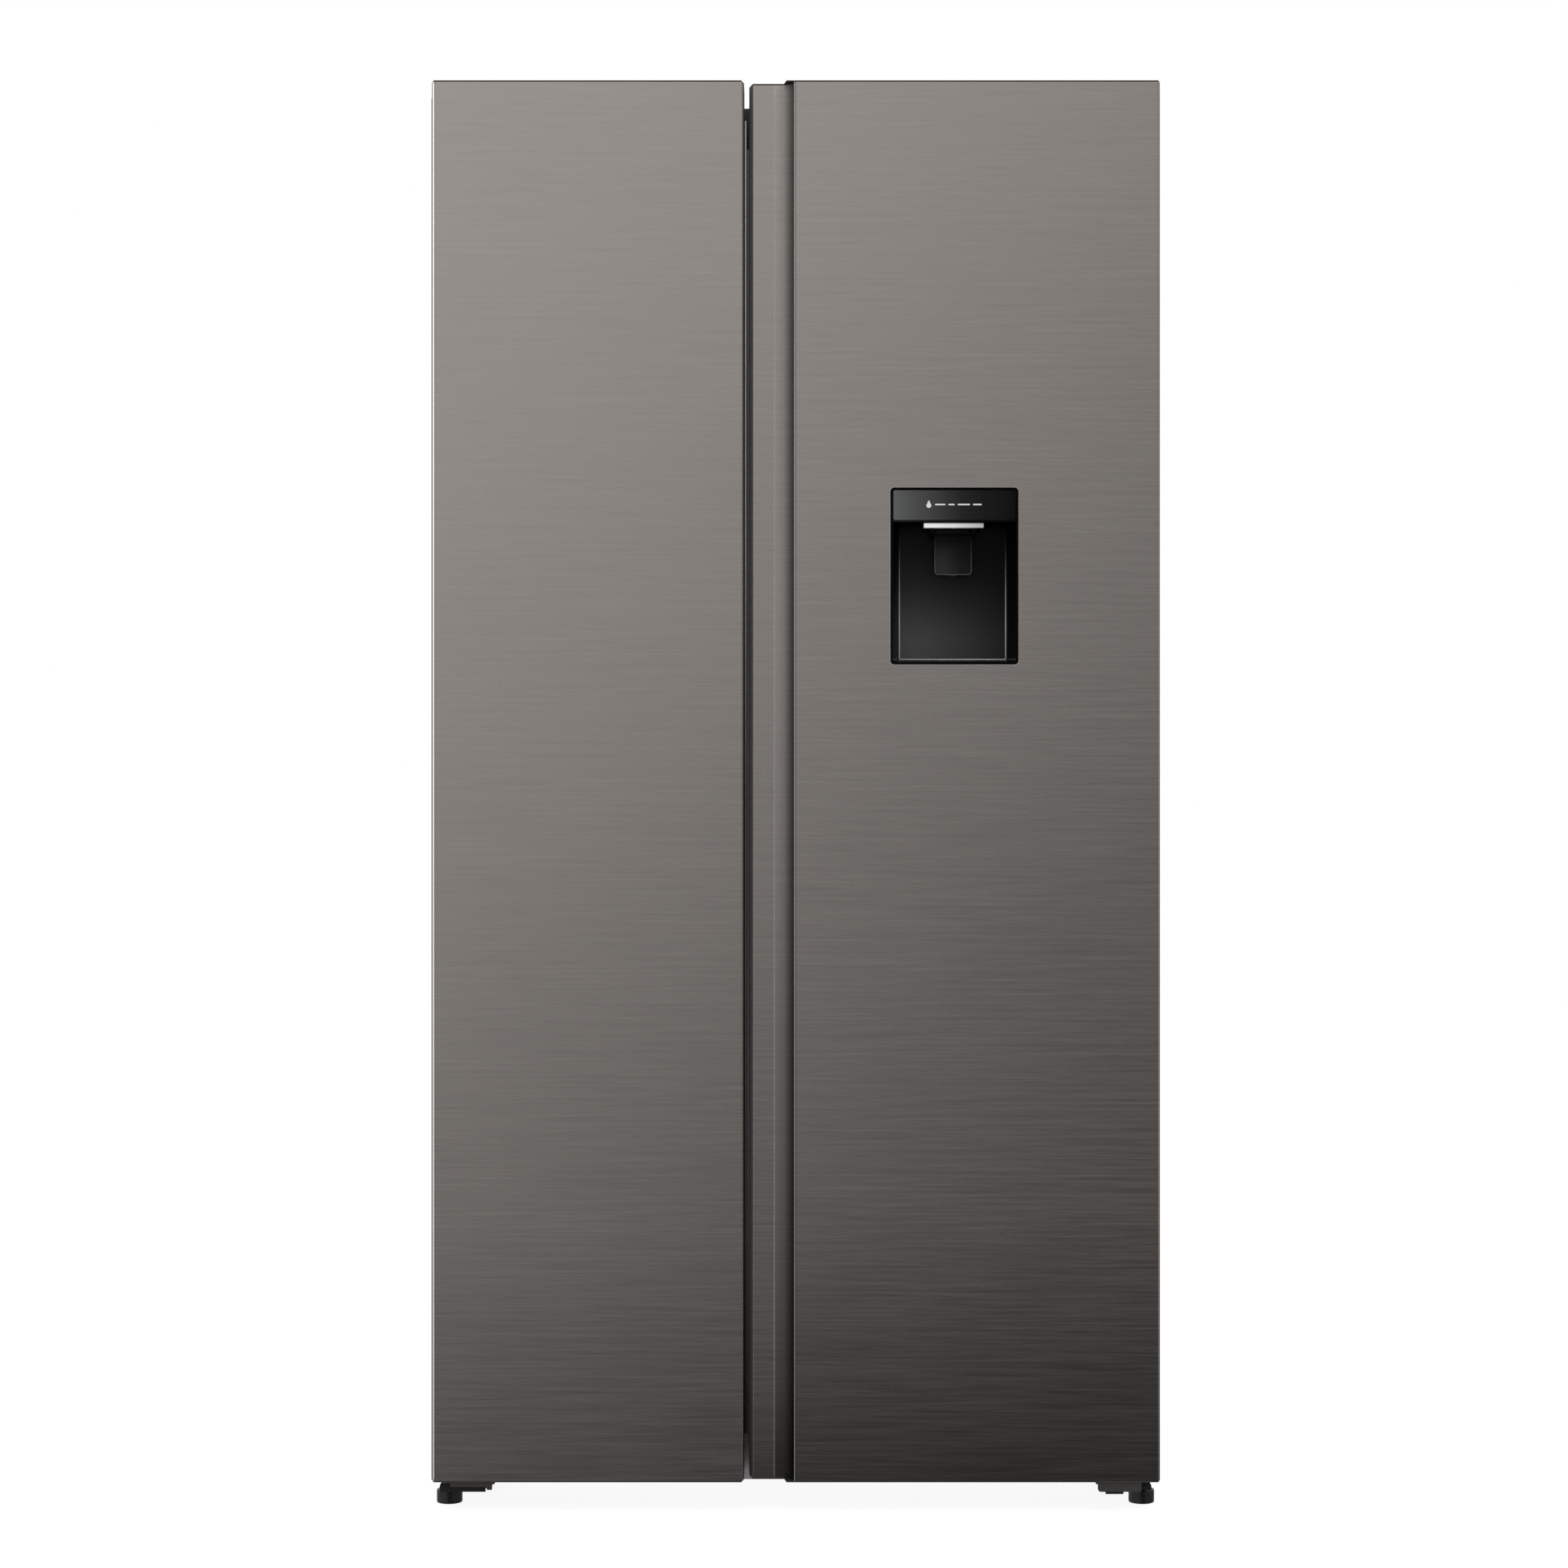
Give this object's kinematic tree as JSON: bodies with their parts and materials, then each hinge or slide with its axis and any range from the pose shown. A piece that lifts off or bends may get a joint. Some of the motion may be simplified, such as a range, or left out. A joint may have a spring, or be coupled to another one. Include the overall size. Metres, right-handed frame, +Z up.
{
  "type": "side by side refrigerator",
  "caption": "Free-standing two-door refrigerator and freezer with brushed steel doors, recessed vertical grip, water dispenser, shelves, drawers and door bins.",
  "frame": {"origin": "middle of the footprint, on the floor", "axes": "+Z up, +Y towards the back, doors face -Y, +X to the right of a person facing the doors"},
  "size_m": [0.91, 0.643, 1.786],
  "materials": {
    "stainless": "satin",
    "grip_steel": "satin",
    "cabinet_paint": "satin",
    "zinc_steel": "satin",
    "black_paint": "satin",
    "hinge_steel": "satin",
    "white_liner": "satin",
    "foam": "matte",
    "cap_plastic": "matte",
    "gasket_rubber": "matte",
    "clear_plastic": "gloss",
    "shelf_glass": "gloss",
    "trim_plastic": "satin",
    "gloss_black": "gloss",
    "nozzle_white": "gloss",
    "spring_steel": "satin",
    "compressor_black": "gloss",
    "coil_metal": "satin",
    "fan_plastic": "matte",
    "lamp_lens": "satin",
    "roller_plastic": "matte",
    "foot_plastic": "satin",
    "bolt_zinc": "satin",
    "grey_plastic": "matte"
  },
  "bodies": {
    "cabinet": {"back_panel": "zinc_steel", "base_pan": "zinc_steel", "cabinet_foam": "foam", "compressor": "compressor_black", "condenser_coil": "black_paint", "drain_tray": "grey_plastic", "evaporator": "coil_metal", "evaporator_cover": "white_liner", "fan_motors": "zinc_steel", "freezer_liner": "white_liner", "fridge_air_duct": "white_liner", "fridge_liner": "white_liner", "glass_shelves": "shelf_glass", "hinge_covers": "cap_plastic", "hinge_screws": "bolt_zinc", "interior_lamps": "lamp_lens", "left_side_panel": "cabinet_paint", "lower_hinge_left": "hinge_steel", "lower_hinge_right": "hinge_steel", "machine_cover": "grey_plastic", "mullion_cover": "cabinet_paint", "right_side_panel": "cabinet_paint", "roller_axles": "bolt_zinc", "shelf_rails": "white_liner", "shelf_trims": "trim_plastic", "top_panel": "cabinet_paint", "upper_hinges": "zinc_steel"},
    "freezer_door": {"freezer_door_skin": "stainless", "freezer_door_end_caps": "cap_plastic", "freezer_door_liner": "white_liner", "freezer_door_foam": "foam", "freezer_door_gasket": "gasket_rubber", "freezer_door_bins": "clear_plastic"},
    "fridge_door": {"fridge_door_skin": "stainless", "grip_channel": "grip_steel", "fridge_door_end_caps": "cap_plastic", "fridge_door_liner": "white_liner", "fridge_door_foam": "foam", "fridge_door_gasket": "gasket_rubber", "fridge_door_bins": "clear_plastic", "dispenser_housing": "gloss_black", "dispenser_panel": "gloss_black", "dispenser_nozzle": "nozzle_white", "paddle_spring": "spring_steel", "water_tank": "clear_plastic"},
    "paddle": {"dispenser_paddle": "gloss_black"},
    "filling_lid": {"tank_lid": "trim_plastic"},
    "condenser_fan_rotor": {"condenser_fan": "fan_plastic"},
    "evaporator_fan_rotor": {"evaporator_fan": "fan_plastic"},
    "front_left_roller": {"roller_front_left": "roller_plastic"},
    "front_right_roller": {"roller_front_right": "roller_plastic"},
    "rear_left_roller": {"roller_rear_left": "roller_plastic"},
    "rear_right_roller": {"roller_rear_right": "roller_plastic"},
    "left_foot": {"foot_left": "foot_plastic"},
    "right_foot": {"foot_right": "foot_plastic"},
    "dial": {"temperature_dial": "trim_plastic"},
    "lower_freezer_drawer": {"freezer_drawer_lower": "clear_plastic"},
    "upper_freezer_drawer": {"freezer_drawer_upper": "clear_plastic"},
    "lower_crisper": {"crisper_lower": "clear_plastic"},
    "upper_crisper": {"crisper_upper": "clear_plastic"}
  },
  "joints": [
    {"name": "freezer_door_swing", "type": "hinge", "parent": "cabinet", "child": "freezer_door", "pos_m": [-0.433, -0.2915, 0.9], "axis": [0, 0, -1], "range_deg": [0, 125]},
    {"name": "fridge_door_swing", "type": "hinge", "parent": "cabinet", "child": "fridge_door", "pos_m": [0.433, -0.2915, 0.9], "axis": [0, 0, 1], "range_deg": [0, 125]},
    {"name": "paddle_push", "type": "hinge", "parent": "fridge_door", "child": "paddle", "pos_m": [0.1975, -0.298, 1.2215], "axis": [1, 0, 0], "range_deg": [0, 12], "stiffness_Nm_per_rad": 0.3, "deforming": ["paddle_spring"]},
    {"name": "filling_lid_hinge", "type": "hinge", "parent": "fridge_door", "child": "filling_lid", "pos_m": [0.1975, -0.224, 1.4415], "axis": [1, 0, 0], "range_deg": [0, 100]},
    {"name": "temperature_dial_turn", "type": "hinge", "parent": "cabinet", "child": "dial", "pos_m": [0.193, 0.21, 1.54], "axis": [0, -1, 0], "range_deg": [-135, 135]},
    {"name": "lower_freezer_drawer_slide", "type": "slide", "parent": "cabinet", "child": "lower_freezer_drawer", "axis": [0, -1, 0], "range_m": [0, 0.11]},
    {"name": "upper_freezer_drawer_slide", "type": "slide", "parent": "cabinet", "child": "upper_freezer_drawer", "axis": [0, -1, 0], "range_m": [0, 0.11]},
    {"name": "lower_crisper_slide", "type": "slide", "parent": "cabinet", "child": "lower_crisper", "axis": [0, -1, 0], "range_m": [0, 0.11]},
    {"name": "upper_crisper_slide", "type": "slide", "parent": "cabinet", "child": "upper_crisper", "axis": [0, -1, 0], "range_m": [0, 0.11]},
    {"name": "condenser_fan_spin", "type": "hinge", "parent": "cabinet", "child": "condenser_fan_rotor", "pos_m": [-0.02, 0.21, 0.14], "axis": [1, 0, 0], "continuous": true},
    {"name": "evaporator_fan_spin", "type": "hinge", "parent": "cabinet", "child": "evaporator_fan_rotor", "pos_m": [-0.248, 0.206, 0.76], "axis": [0, 1, 0], "continuous": true},
    {"name": "front_left_roller_spin", "type": "hinge", "parent": "cabinet", "child": "front_left_roller", "pos_m": [-0.4035, -0.195, 0.0145], "axis": [1, 0, 0], "continuous": true},
    {"name": "front_right_roller_spin", "type": "hinge", "parent": "cabinet", "child": "front_right_roller", "pos_m": [0.4035, -0.195, 0.0145], "axis": [1, 0, 0], "continuous": true},
    {"name": "rear_left_roller_spin", "type": "hinge", "parent": "cabinet", "child": "rear_left_roller", "pos_m": [-0.4035, 0.27, 0.022], "axis": [1, 0, 0], "continuous": true},
    {"name": "rear_right_roller_spin", "type": "hinge", "parent": "cabinet", "child": "rear_right_roller", "pos_m": [0.4035, 0.27, 0.022], "axis": [1, 0, 0], "continuous": true},
    {"name": "left_foot_screw", "type": "hinge", "parent": "cabinet", "child": "left_foot", "pos_m": [-0.4374, -0.2655, 0.01], "axis": [0, 0, 1], "range_deg": [-360, 360]},
    {"name": "right_foot_screw", "type": "hinge", "parent": "cabinet", "child": "right_foot", "pos_m": [0.4374, -0.2655, 0.01], "axis": [0, 0, 1], "range_deg": [-360, 360]}
  ]
}
